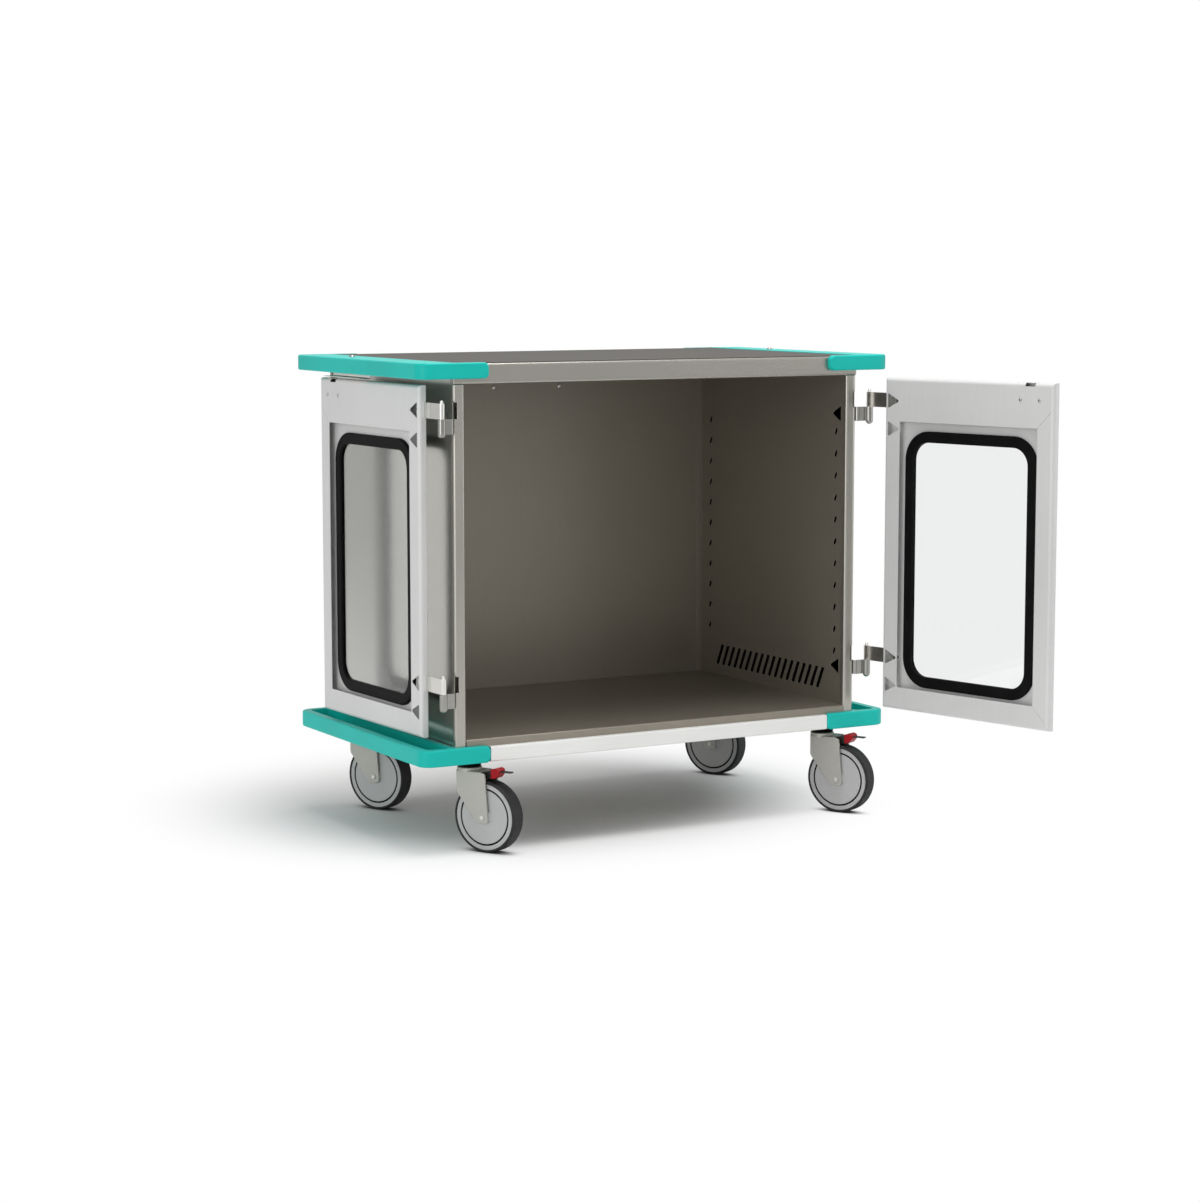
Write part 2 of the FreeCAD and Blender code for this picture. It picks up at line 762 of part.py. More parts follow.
top_bumper = cut_all(top_bumper, bumper_holes(top_bolt_z, bumper_wall) + [catch_hole_tool])
bottom_bumper = cut_all(bottom_bumper, bumper_holes(bottom_bolt_z, bumper_bolt_bite))
nodes["bumper_top_right"] = top_bumper
nodes["bumper_top_left"] = mirrored(top_bumper)
nodes["bumper_bottom_right"] = bottom_bumper
nodes["bumper_bottom_left"] = mirrored(bottom_bumper)

# Bolts for the catches and bumpers; the top bumpers' heads lie in the trough, the bottom ones' in the frame
bolts = [dome_screw(bumper_bolt_r, bolt_head_r, bolt_head_height, catch_bolt_spot, -Z, catch_bolt_length)]
for y in bumper_bolt_y:
    start = Vector(body_half_width + bumper_wall, y, top_bolt_z)
    length = bumper_wall + bumper_bolt_grip
    bolts.append(dome_screw(bumper_bolt_r, bolt_head_r, bolt_head_height, start, -X, length))
    start = Vector(body_half_width - frame_wall, y, bottom_bolt_z)
    length = frame_wall + bumper_bolt_bite
    bolts.append(dome_screw(bumper_bolt_r, bolt_head_r, bolt_head_height, start, X, length))
nodes["bumper_bolts"] = Part.makeCompound(both_sides(bolts))


# Hinges: the pin stands in a round-ended socket on the body leaf and carries the door leaf's knuckle
def hinge_spot(level):
    """Point on the hinge axis."""
    return Vector(hinge_x, hinge_y, level)


body_leaves = []
body_screws = []
pins = []
strap_path = [(body_half_width, post_back - seat_gap), (body_half_width, leaf_front), (hinge_x, leaf_front)]
screw_length = leaf + thick_sheet + hinge_screw_grip
for split in hinge_splits:
    leaf_low = split - body_leaf_height
    dome_level = leaf_low - socket_drop + socket_r
    strap = folded(strap_path, leaf, leaf_bend, on_xy(leaf_low), Z * body_leaf_height)
    socket = rod(socket_r, hinge_spot(dome_level), Z, split - dome_level)
    socket = socket.fuse(Part.makeSphere(socket_r, hinge_spot(dome_level)))
    pin_length = body_leaf_height + leaf_gap + door_leaf_height + pin_stub
    pin = rod(pin_r, hinge_spot(leaf_low), Z, pin_length)
    bracket = strap.fuse(socket).cut(pin)
    for sign in (-1, 1):
        level = split - 0.5 * body_leaf_height + sign * hinge_screw_rise
        start = Vector(body_half_width + leaf, body_screw_y, level)
        screw = dome_screw(hinge_screw_r, hinge_screw_head_r, hinge_screw_head, start, -X, screw_length)
        body_screws.append(screw)
        bracket = bracket.cut(rod(hinge_screw_r, start + X * overrun, -X, leaf + 2 * overrun))
    body_leaves.append(single(bracket))
    pin_rim = [edge for edge in pin.Edges if all(v.Z > split for v in edge.Vertexes)]
    pins.append(pin.makeFillet(pin_edge, pin_rim))
nodes["hinge_body_leaves"] = Part.makeCompound(both_sides(body_leaves))
nodes["hinge_body_screws"] = Part.makeCompound(both_sides(body_screws))
nodes["hinge_pins"] = Part.makeCompound(both_sides(pins))


# Doors, drawn shut on the right-hand side
def door_block(inset):
    """Door outline with rounded edges, drawn in all round by inset."""
    outer = max(door_outer_round - inset, least_round)
    inner = door_inner_round - inset
    y0 = door_out + inset
    y1 = door_in - inset
    x0 = door_x0 + inset
    x1 = door_x1 - inset
    z0 = door_z0 + inset
    z1 = door_z1 - inset
    plan = [(x0, y0, outer), (x1, y0, outer), (x1, y1, inner), (x0, y1, inner)]
    side = [(y0, z0, outer), (y1, z0, inner), (y1, z1, inner), (y0, z1, outer)]
    upright = prism(plan, on_xy(z0), Z * (z1 - z0))
    return upright.common(prism(side, on_yz(x0), X * (x1 - x0)))


recess_x0 = door_x0 + recess_side
recess_x1 = door_x1 - recess_side
recess_z0 = door_z0 + recess_bottom
recess_z1 = door_z1 - recess_top


def window_shape(inset, y, depth):
    """Rounded window outline drawn in by inset, pushed back from y."""
    corners = frame_corners(door_x0 + window_side + inset, door_x1 - window_side - inset,
                            door_z0 + window_bottom + inset, door_z1 - window_top - inset,
                            window_corner - inset)
    return prism(corners, on_xz(y), Y * depth)


def flange_cut(corners):
    """Cut through the door's return flange only."""
    return prism(corners, on_xz(door_in - door_sheet - overrun), Y * (door_sheet + 2 * overrun))


pan_cuts = [flange_cut(frame_corners(recess_x0, recess_x1, recess_z0, recess_z1, recess_corner))]
pan_cuts.append(window_shape(skin_grip, door_out - overrun, door_sheet + 2 * overrun))
leaf_levels = []
for split in hinge_splits:
    leaf_level = split + leaf_gap + 0.5 * door_leaf_height
    leaf_levels.append(leaf_level)
    half_slot = 0.5 * door_leaf_height + seat_gap
    pan_cuts.append(block(door_x1 - door_sheet - overrun, door_x1 + overrun, leaf_front - seat_gap,
                          leaf_back + seat_gap, leaf_level - half_slot, leaf_level + half_slot))
    for level in (leaf_level, leaf_level - triangle_pitch):
        wide_x = door_x1 - triangle_inset
        pan_cuts.append(flange_cut([(wide_x, level - 0.5 * triangle_base, triangle_corner),
                                    (wide_x, level + 0.5 * triangle_base, triangle_corner),
                                    (wide_x - triangle_depth, level, triangle_corner)]))
for corner_z, rise in ((recess_z1, 1), (recess_z0, -1)):
    reach = recess_x0 - door_x0 - door_inner_round
    pan_cuts.append(flange_cut([(recess_x0 + overrun, corner_z - overrun * rise, 0.0),
                                (recess_x0 + overrun, corner_z + (mitre_gap - overrun) * rise, 0.0),
                                (recess_x0 - reach, corner_z + (reach + mitre_gap) * rise, 0.0),
                                (recess_x0 - reach, corner_z + reach * rise, 0.0)]))
pan_cuts.append(block(latch_x - strike_half_x, latch_x + strike_half_x, bolt_y - strike_half_y,
                      door_in + overrun, door_z1 - latch_notch, door_z1 + overrun))
handle_z = door_z1 - handle_drop
shaft_hole = Vector(latch_x, door_out - overrun, handle_z)
pan_cuts.append(rod(handle_shaft_r + run_gap, shaft_hole, Y, door_sheet + 2 * overrun))
latch_screw_z = door_z1 - latch_screw_drop
latch_screw_spots = []
for sign in (-1, 1):
    spot = Vector(latch_x + sign * latch_screw_spread, door_in, latch_screw_z)
    latch_screw_spots.append(spot)
    pan_cuts.append(rod(latch_screw_r, spot + Y * overrun, -Y, door_sheet + 2 * overrun))
door_pan = cut_all(door_block(0.0).cut(door_block(door_sheet)), pan_cuts)

# Window pane and the rubber gasket that grips pane and door skin
pane_y = door_out + 0.5 * (door_sheet - pane_thickness)
pane = window_shape(gasket_width - pane_grip, pane_y, pane_thickness)
gasket_y = door_out - gasket_outside
gasket_depth = gasket_outside + door_sheet + gasket_inside
gasket_hole = window_shape(gasket_width, gasket_y - overrun, gasket_depth + 2 * overrun)
gasket = window_shape(0.0, gasket_y, gasket_depth).cut(gasket_hole)
gasket_edges = []
for edge in gasket.Edges:
    depths = [v.Y for v in edge.Vertexes]
    if max(depths) - min(depths) < 0.01:
        gasket_edges.append(edge)
gasket = single(gasket.makeFillet(gasket_round, gasket_edges).cut(door_pan).cut(pane))

# Door leaves of the hinges with triangular ends, and their screws
door_leaves = []
door_screws = []
for level in leaf_levels:
    low = level - 0.5 * door_leaf_height
    high = level + 0.5 * door_leaf_height
    knuckle = rod(knuckle_r, hinge_spot(low), Z, door_leaf_height)
    pin_hole = rod(pin_r + run_gap, hinge_spot(low - overrun), Z, door_leaf_height + 2 * overrun)
    shoulder = door_x1 - triangle_inset
    strap = prism([(hinge_x, low, 0.0), (hinge_x, high, 0.0), (shoulder, high, triangle_corner),
                   (shoulder - triangle_depth, level, triangle_corner), (shoulder, low, triangle_corner)],
                  on_xz(leaf_front), Y * leaf)
    strap = strap.fuse(knuckle).cut(pin_hole)
    for inward, rise in ((0.0, leaf_screw_rise), (0.0, -leaf_screw_rise), (leaf_screw_step, 0.0)):
        start = Vector(shoulder - leaf_screw_inset - inward, leaf_back, level + rise)
        door_screws.append(dome_screw(leaf_screw_r, leaf_screw_head_r, latch_screw_head, start, -Y, leaf))
        strap = strap.cut(rod(leaf_screw_r, start + Y * overrun, -Y, leaf + 2 * overrun))
    door_leaves.append(single(strap))

# Latch: housing, sliding bolt and turn handle
latch_z0 = door_z1 - latch_bottom_drop
latch_z1 = door_z1 - door_inner_round
latch_corners = frame_corners(latch_x - latch_half_width, latch_x + latch_half_width,
                              latch_z0, latch_z1, bend)
latch_body = prism(latch_corners, on_xz(latch_front), Y * (latch_back - latch_front))
bolt_top = door_z1 - bolt_sunk
bolt_low = bolt_top - bolt_length
half_w = 0.5 * bolt_width
half_t = 0.5 * bolt_thickness
latch_cuts = [block(latch_x - half_w - bolt_gap, latch_x + half_w + bolt_gap, bolt_y - half_t - bolt_gap,
                    bolt_y + half_t + bolt_gap, bolt_low - bolt_gap, latch_z1 + overrun)]
shaft_room = Vector(latch_x, latch_front - overrun, handle_z)
latch_cuts.append(rod(handle_shaft_r + run_gap, shaft_room, Y, handle_shaft_depth + 2 * overrun))
latch_screw_length = door_sheet + latch_screw_grip
for spot in latch_screw_spots:
    screw = dome_screw(latch_screw_r, latch_screw_head_r, latch_screw_head, spot, -Y, latch_screw_length)
    door_screws.append(screw)
    latch_cuts.append(rod(latch_screw_r, spot, -Y, latch_screw_length))
latch_body = cut_all(latch_body, latch_cuts)

bolt = prism([(latch_x - half_w, bolt_low, 0.0), (latch_x + half_w, bolt_low, 0.0),
              (latch_x + half_w, bolt_top, bolt_round), (latch_x - half_w, bolt_top, bolt_round)],
             on_xz(bolt_y - half_t), Y * bolt_thickness)

hub_back = door_out - handle_stand_off
handle_front = hub_back - handle_thickness
lever_corners = [(latch_x, handle_z - handle_half_width, 0.0),
                 (latch_x + handle_reach, handle_z - handle_tip, handle_tip),
                 (latch_x + handle_reach, handle_z + handle_tip, handle_tip),
                 (latch_x, handle_z + handle_half_width, 0.0)]
lever = prism(lever_corners, on_xz(handle_front), Y * handle_thickness)
lever = single(lever.fuse(rod(handle_hub_r, Vector(latch_x, handle_front, handle_z), Y, handle_thickness)))
front_edges = [edge for edge in lever.Edges if all(abs(v.Y - handle_front) < 0.01 for v in edge.Vertexes)]
lever = lever.makeFillet(handle_edge, front_edges)
shaft_length = handle_stand_off + door_sheet + handle_shaft_depth
handle = single(lever.fuse(rod(handle_shaft_r, Vector(latch_x, hub_back, handle_z), Y, shaft_length)))

door_pieces = {"door_pan": door_pan, "door_gasket": gasket, "door_pane": pane,
               "door_hinge_leaves": Part.makeCompound(door_leaves),
               "door_screws": Part.makeCompound(door_screws),
               "latch_body": latch_body, "latch_bolt": bolt, "door_handle": handle}
for piece, shape in door_pieces.items():
    swung = shape.copy()
    swung.rotate(Vector(hinge_x, hinge_y, 0), Z, right_open)
    nodes[piece + "_right"] = swung
    swung = mirrored(shape)
    swung.rotate(Vector(-hinge_x, hinge_y, 0), Z, -left_open)
    nodes[piece + "_left"] = swung


# Casters, drawn with the swivel axis on Z and the wheel trailing along X
def ring_of(profile):
    """Wheel part turned round the axle from (radius, across, rounding) corners."""
    face = Part.Face(outline(profile, lambda u, v: Vector(trail + u, v, wheel_r)))
    return face.revolve(Vector(trail, 0, wheel_r), Y, 360)


core_r = wheel_r - tyre_depth
half_core = 0.5 * core_width
half_tyre = 0.5 * tyre_width
fork_inside = half_tyre + fork_clear
fork_outside = fork_inside + fork_sheet
half_hub = fork_inside - hub_gap
groove_out = core_r - groove_inset + 0.5 * groove_width
groove_in = groove_out - groove_width
groove_y = half_core - groove_depth
face_side = [(axle_r + run_gap, half_hub, 0.0), (hub_r, half_hub, core_round),
             (hub_r + hub_cone, half_core, core_round), (groove_in, half_core, 0.0),
             (groove_in, groove_y, 0.0), (groove_out, groove_y, 0.0),
             (groove_out, half_core, 0.0), (core_r, half_core, 0.0)]
wheel_core = ring_of(face_side + [(r, -y, q) for r, y, q in face_side[::-1]])
shoulder_y = half_tyre - tyre_shoulder
lip_r = core_r + tyre_lip
edge_r = wheel_r - 0.5 * tyre_shoulder
tread_side = [(core_r, half_core, 0.0), (lip_r, half_tyre, core_round),
              (edge_r, half_tyre, tyre_lip), (wheel_r, shoulder_y, tyre_lip)]
tyre = ring_of(tread_side + [(r, -y, q) for r, y, q in tread_side[::-1]])
axle = rod(axle_r, Vector(trail, -fork_outside, wheel_r), Y, 2 * fork_outside)
axle = axle.fuse(hexagon(axle_head_r, Vector(trail, fork_outside, wheel_r), Y, axle_head))
axle = single(axle.fuse(hexagon(axle_head_r, Vector(trail, -fork_outside, wheel_r), -Y, axle_head)))
brake_x = trail - brake_behind
brake_z = wheel_top + brake_rise
brake_pin_end = fork_inside + brake_pin_seat


def fork(braked):
    """Pressed fork: crown, two tapering legs and the swivel head."""
    foot_z = wheel_r - fork_foot_drop
    side = [(-fork_back, fork_top, 0.0), (-fork_back, fork_top - fork_knee_drop, fork_knee_round),
            (trail - fork_foot, foot_z, fork_foot_round), (trail + fork_foot, foot_z, fork_foot_round),
            (trail + fork_lug, fork_top - fork_lug_drop, fork_lug_round), (fork_front, fork_top, 0.0)]
    body = prism(side, on_xz(-fork_outside), Y * (2 * fork_outside))
    long_edges = [edge for edge in body.Edges
                  if all(abs(v.Z - fork_top) < 0.01 for v in edge.Vertexes)
                  and abs(edge.Vertexes[0].Y - edge.Vertexes[1].Y) < 0.01]
    body = body.makeFillet(fork_sheet, long_edges)
    front_end = trail + max(fork_lug, fork_foot) + overrun
    under_crown = block(-fork_back - overrun, front_end, -fork_inside, fork_inside, 0, fork_top - fork_crown)
    before_crown = block(fork_front, front_end, -fork_inside, fork_inside, 0, fork_top + overrun)
    body = body.cut(under_crown).cut(before_crown)
    head = [(0.0, fork_top - fork_crown, 0.0), (head_r, fork_top - fork_crown, 0.0),
            (head_r, head_top, head_edge), (0.0, head_top, 0.0)]
    face = Part.Face(outline(head, lambda u, v: Vector(u, 0, v)))
    body = body.fuse(face.revolve(Vector(0, 0, 0), Z, 360))
    cuts = [rod(king_r + run_gap, Vector(0, 0, fork_top - fork_crown - overrun), Z, head_top)]
    across = 2 * (fork_outside + overrun)
    cuts.append(rod(axle_r, Vector(trail, -fork_outside - overrun, wheel_r), Y, across))
    if braked:
        pin_start = Vector(brake_x, -brake_pin_end - run_gap, brake_z)
        cuts.append(rod(brake_pin_r + run_gap, pin_start, Y, 2 * (brake_pin_end + run_gap)))
    return cut_all(body, cuts)


# Round top plate with its ball race, and the bolt that the fork turns on
race_low = head_top + race_gap
plate_profile = [(king_r, race_low, 0.0), (race_r, race_low, 0.0), (race_r, plate_under, 0.0),
                 (plate_r, plate_under, plate_edge), (plate_r, base_bottom, 0.0), (king_r, base_bottom, 0.0)]
plate_face = Part.Face(outline(plate_profile, lambda u, v: Vector(u, 0, v)))
top_plate = plate_face.revolve(Vector(0, 0, 0), Z, 360)
king_low = fork_top - fork_crown - king_nut_drop
king_high = base_bottom + corner_plate_thickness
king_bolt = rod(king_r, Vector(0, 0, king_low), Z, king_high - king_low)
king_bolt = king_bolt.fuse(hexagon(king_nut_r, Vector(0, 0, king_low), -Z, king_nut))
king_bolt = single(king_bolt.fuse(hexagon(king_nut_r, Vector(0, 0, king_high), Z, king_nut)))

# Brake lever with its shoe, and the pedal cap pushed onto it
half_brake = 0.5 * brake_width
brake_tip_x = trail + brake_reach
brake_arm_z = wheel_top + brake_arm_rise
arm_under = brake_arm_z - brake_arm
elbow_x = trail + brake_elbow
shoe_back = trail + shoe_ahead - shoe_half
shoe_front = trail + shoe_ahead + shoe_half
shoe_z = wheel_top + shoe_gap
arm_corners = [(brake_x, brake_z - brake_root, 0.0), (shoe_back, shoe_z, shoe_round),
               (shoe_front, shoe_z, shoe_round), (elbow_x + brake_elbow_round, arm_under, shoe_round),
               (brake_tip_x, arm_under, 0.0),
               (brake_tip_x, brake_arm_z, 0.0), (elbow_x, brake_arm_z, brake_elbow_round),
               (brake_x, brake_z + brake_root, 0.0)]
lever_arm = prism(arm_corners, on_xz(-half_brake), Y * brake_width)
lever_arm = lever_arm.fuse(rod(brake_boss_r, Vector(brake_x, -half_brake, brake_z), Y, brake_width))
lever_arm = lever_arm.fuse(rod(brake_pin_r, Vector(brake_x, -brake_pin_end, brake_z), Y, 2 * brake_pin_end))
cap_x = trail + cap_start
cap_end = cap_x + cap_length
half_tongue = 0.5 * tongue_width
beside_tongue = [block(cap_end, brake_tip_x + overrun, half_tongue, half_brake + overrun,
                       arm_under - overrun, brake_arm_z + overrun)]
beside_tongue.append(beside_tongue[0].mirror(Vector(0, 0, 0), Y))
brake_lever = cut_all(lever_arm, beside_tongue)
cap_low = wheel_top + cap_lift
cap_high = wheel_top + cap_rise
half_cap = 0.5 * cap_width
pedal_side = [(cap_x, cap_low, cap_round), (cap_end - cap_chin, cap_low, cap_round),
              (cap_end, arm_under - cap_round, cap_round), (cap_end, brake_arm_z + cap_round, cap_round),
              (cap_end - cap_chin, cap_high, cap_tip_round), (cap_x, cap_high - cap_slope, cap_round)]
pedal = prism(pedal_side, on_xz(-half_cap), Y * cap_width)
pedal_plan = [(cap_x, -half_cap, cap_round), (cap_end, -half_cap, cap_tip_round),
              (cap_end, half_cap, cap_tip_round), (cap_x, half_cap, cap_round)]
pedal = pedal.common(prism(pedal_plan, on_xy(cap_low), Z * (cap_high - cap_low)))
brake_cap = single(pedal.cut(brake_lever))


def placed(shape, spot, heading):
    """Caster piece turned to its heading and put under its corner."""
    copy = shape.copy()
    copy.rotate(Vector(0, 0, 0), Z, heading)
    copy.translate(spot)
    return copy


plates = []
king_bolts = []
for name, spot in caster_spots():
    braked = name.startswith("front")
    plates.append(placed(top_plate, spot, 0.0))
    nodes["caster_fork_" + name] = placed(fork(braked), spot, caster_heading)
    nodes["caster_axle_" + name] = placed(axle, spot, caster_heading)
    nodes["caster_wheel_" + name] = placed(wheel_core, spot, caster_heading)
    nodes["caster_tyre_" + name] = placed(tyre, spot, caster_heading)
    if braked:
        nodes["brake_lever_" + name] = placed(brake_lever, spot, caster_heading)
        nodes["brake_cap_" + name] = placed(brake_cap, spot, caster_heading)
    king_bolts.append(placed(king_bolt, spot, 0.0))
nodes["caster_top_plates"] = Part.makeCompound(plates)
nodes["caster_plate_bolts"] = Part.makeCompound(king_bolts)

# One file for each node
for name, shape in nodes.items():
    shape.exportStep("parts/" + name + ".step")
print(len(nodes), "nodes")
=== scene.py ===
# %% [markdown]
# # A closed case cart
# This lesson dresses a wheeled steel cabinet with two windowed doors. The solids come from the
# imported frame, already in place, so the work here is finishes, a few small pieces that are too fine
# for the solids, the studio and the camera. Lengths are in metres: X runs to the right seen from
# the doors, Y to the back wall and Z up from the floor.

# %% Load the frame
import bpy
import json
import math
import numpy as np
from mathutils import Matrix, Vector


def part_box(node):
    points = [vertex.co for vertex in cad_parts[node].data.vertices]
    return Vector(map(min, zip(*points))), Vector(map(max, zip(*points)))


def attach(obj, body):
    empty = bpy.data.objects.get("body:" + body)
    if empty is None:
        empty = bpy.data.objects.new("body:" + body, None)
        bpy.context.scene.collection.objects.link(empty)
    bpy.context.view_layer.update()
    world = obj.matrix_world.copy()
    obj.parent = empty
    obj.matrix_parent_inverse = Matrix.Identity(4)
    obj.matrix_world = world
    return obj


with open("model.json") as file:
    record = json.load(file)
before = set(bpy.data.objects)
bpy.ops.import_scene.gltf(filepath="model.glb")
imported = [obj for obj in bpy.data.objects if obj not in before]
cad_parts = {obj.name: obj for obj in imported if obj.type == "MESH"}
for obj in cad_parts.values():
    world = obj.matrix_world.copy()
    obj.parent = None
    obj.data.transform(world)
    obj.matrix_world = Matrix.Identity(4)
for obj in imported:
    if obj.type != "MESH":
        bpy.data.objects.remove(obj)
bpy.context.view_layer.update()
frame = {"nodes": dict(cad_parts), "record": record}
nodes = frame["nodes"]
record = frame["record"]

# %% [markdown]
# ## Writing shader maths as Python
# A finish is a small network of nodes. It could be wired by hand, one socket at a time, but the
# sums then disappear in the wiring. Here a `Wire` stands for a value that changes over the surface,
# and adding or multiplying wires adds the Math nodes. A `Network` holds the nodes, and its `add`
# makes any other kind.

# %% Wires and networks
class Wire:
    """A value on its way between nodes; each operator adds one Math node that works on it."""

    def __init__(self, network, socket):
        self.network = network
        self.socket = socket

    def math(self, operation, first, second):
        return self.network.add("ShaderNodeMath", {"operation": operation}, {0: first, 1: second})

    def __add__(self, other):
        return self.math("ADD", self, other)

    def __sub__(self, other):
        return self.math("SUBTRACT", self, other)

    def __rsub__(self, other):
        return self.math("SUBTRACT", other, self)

    def __mul__(self, other):
        return self.math("MULTIPLY", self, other)

    __radd__ = __add__
    __rmul__ = __mul__

    def __abs__(self):
        return self.math("ABSOLUTE", self, 0.0)

    def or_more(self, other):
        """The larger of two values."""
        return self.math("MAXIMUM", self, other)

    def step(self, low, high):
        """Goes smoothly from 0 at low to 1 at high."""
        return self.network.add("ShaderNodeMapRange", {"interpolation_type": "SMOOTHSTEP"},
                                {"Value": self, "From Min": low, "From Max": high})


class Network:
    """A tree of shader nodes; add() makes a node, sets it up, feeds its sockets and gives one output."""

    def __init__(self, tree):
        self.tree = tree

    def add(self, kind, settings=None, inputs=None, output=0):
        node = self.tree.nodes.new(kind)
        for key, value in (settings or {}).items():
            setattr(node, key, value)
        self.feed(node, inputs or {})
        return Wire(self, node.outputs[output]) if len(node.outputs) else node

    def feed(self, node, values):
        for key, value in values.items():
            if isinstance(value, Wire):
                self.tree.links.new(value.socket, node.inputs[key])
            else:
                node.inputs[key].default_value = value


class Finish(Network):
    """One material; surface() feeds its main shader."""

    def __init__(self, name):
        self.material = bpy.data.materials.new(name)
        self.material.use_nodes = True
        super().__init__(self.material.node_tree)
        self.shader = self.tree.nodes["Principled BSDF"]

    def surface(self, values):
        self.feed(self.shader, values)
        return self.material


print("shader helpers ready")

# %% [markdown]
# ## Patterns that every finish draws on
# Sheet steel, rubber and moulded polymer all vary at three scales: slow clouding from handling and cleaning,
# fine grain from the rolling mill or the mould, and wear on the edges. Pictures could carry these, but noise
# needs no files and never repeats. Object coordinates keep each pattern fixed to its piece when a door
# swings. Edges are found by comparing the true normal with a rounded one. On the metals the lighter edges
# are partly wear and partly a painted highlight.

# %% Clouds, grain and edges
def place(coat, stretch=(1.0, 1.0, 1.0)):
    """Object coordinates, each multiplied by its stretch."""
    spot = coat.add("ShaderNodeTexCoord", output="Object")
    return coat.add("ShaderNodeMapping", {}, {"Vector": spot, "Scale": stretch})


def along(coat, axis):
    """One of the object coordinates, X, Y or Z."""
    return coat.add("ShaderNodeSeparateXYZ", {}, {0: place(coat)}, axis)


def noise(coat, scale, detail=3.0, stretch=(1.0, 1.0, 1.0)):
    """Fractal noise around 0.5; a small stretch along one axis gives streaks along that axis."""
    return coat.add("ShaderNodeTexNoise", {}, {"Vector": place(coat, stretch), "Scale": scale,
                                               "Detail": detail})


def blend(coat, factor, first, second):
    """Colour that goes from first to second as factor goes from 0 to 1."""
    return coat.add("ShaderNodeMix", {"data_type": "RGBA"}, {0: factor, 6: first, 7: second}, 2)


def rounded_normal(coat, radius):
    """Normal averaged over a small radius, so that sharp edges catch the light."""
    return coat.add("ShaderNodeBevel", {"samples": 8}, {"Radius": radius})


def edge_wear_and_highlight(coat, normal, start=0.02, full=0.25):
    """One minus the cosine between the rounded and the true normal, stepped from start to full."""
    true_normal = coat.add("ShaderNodeNewGeometry", output="Normal")
    cosine = coat.add("ShaderNodeVectorMath", {"operation": "DOT_PRODUCT"}, {0: normal, 1: true_normal},
                      "Value")
    return (1.0 - cosine).step(start, full)


def bumped(coat, height, strength, distance, normal):
    """Normal tilted by a height pattern, on top of the rounded edges."""
    return coat.add("ShaderNodeBump", {}, {"Strength": strength, "Distance": distance, "Height": height,
                                           "Normal": normal})


def shade(colour, factor):
    """The same colour, lighter or darker, never brighter than white."""
    return tuple(min(c * factor, 1.0) for c in colour[:3]) + (1.0,)


print("pattern helpers ready")

# %% [markdown]
# ## Satin sheet
# The cabinet, doors and rails are stainless and enamelled sheet with a fine satin grain. The grain could be
# an anisotropic reflection, but streaks of noise in the roughness and the bump survive the export and look
# right close up. Slow clouds stand for wiping marks, and the folded edges are painted a little brighter:
# partly polish, partly a painted highlight.

# %% Satin sheet
painted_shade_black = (0.006, 0.006, 0.005, 1.0)
painted_shade_blend = 0.0003


def satin_steel(name, colour, metal, rough, streak, fold=0.0012, painted_shade_within=None, sheen=0.5, brush=1.0):
    """Sheet with grain streaks along one direction, as strong as brush; painted shade, near black, where |X|
    is below the given limit.

    Roughness is rough plus a tenth of clouds and grain, each from its middle, less a little on edges.
    """
    coat = Finish(name)
    dull, fair, polish_and_highlight = (shade(colour, factor) for factor in (0.94, 1.05, 1.25))
    normal = rounded_normal(coat, fold)
    wear_and_highlight = edge_wear_and_highlight(coat, normal)
    cloud = noise(coat, scale=3.2, detail=4.0)
    grain = noise(coat, scale=6.0, detail=5.0, stretch=streak)
    mottle = (cloud * 0.7 + grain * (0.5 * brush)).step(0.3, 0.9)
    # Lighter edges, partly polish from handling and partly a painted highlight.
    tone = blend(coat, wear_and_highlight * 0.5, blend(coat, mottle, dull, fair), polish_and_highlight)
    # Painted shade: near black where |X| lies below the given limit.
    if painted_shade_within is not None:
        tone = blend(coat, abs(along(coat, "X")).step(painted_shade_within - painted_shade_blend, painted_shade_within), painted_shade_black, tone)
    roughness = rough + (cloud - 0.5) * 0.10 + (grain - 0.5) * (0.10 * brush) - wear_and_highlight * 0.06
    return coat.surface({"Base Color": tone, "Metallic": metal, "Roughness": roughness,
                         "Specular IOR Level": sheen,
                         "Normal": bumped(coat, grain, 0.03 * brush, 0.0002, normal)})


upright = (110.0, 110.0, 1.5)
lengthwise = (1.5, 110.0, 110.0)
rounded_fold = 0.003
wall_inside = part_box("outer_sides")[1][0] - 0.0008
finishes = {
    "door_enamel": satin_steel("door_satin", (0.70, 0.70, 0.695), metal=0.10, rough=0.42, streak=upright,
                               fold=0.0016),
    "trim_enamel": satin_steel("trim_satin", (0.88, 0.88, 0.86), metal=0.10, rough=0.38, streak=lengthwise),
    "grey_enamel": satin_steel("frame_satin", (0.45, 0.435, 0.393), metal=0.85, rough=0.26, streak=upright,
                               fold=rounded_fold, brush=0.4),
    # The inside is painted darker than the doors: painted shade inside the closed cabinet.
    "inner_enamel": satin_steel("inner_satin", (0.29, 0.264, 0.218), metal=0.55, rough=0.38, streak=upright),
}
rail_finish = satin_steel("rail_satin", (0.41, 0.396, 0.358), metal=0.85, rough=0.26, streak=lengthwise,
                          fold=rounded_fold, brush=0.6)
# The deck is painted dark: painted shade on its top face.
shaded_deck_finish = satin_steel("deck_satin", (0.085, 0.079, 0.070), metal=0.10, rough=0.55, streak=lengthwise,
                          sheen=0.10)
# The side walls turn near black within the double wall: painted shade for the dark gap beside the folded
# door.
side_finish = satin_steel("side_satin", (0.62, 0.605, 0.565), metal=0.92, rough=0.20, streak=upright,
                          painted_shade_within=wall_inside, brush=0.4)
print("sheet finishes:", sorted(finishes))

# %% [markdown]
# ## Moulded pieces
# The teal corner pieces are moulded polymer with a fine matt mould texture. One plain colour would
# do from afar, but the real skin has a leathery grain, a slight sheen and paler scuffs on the
# corners that meet door frames. The wheels' cores, the pedals and the handles come from the same
# kind of mould, each with its own grain.

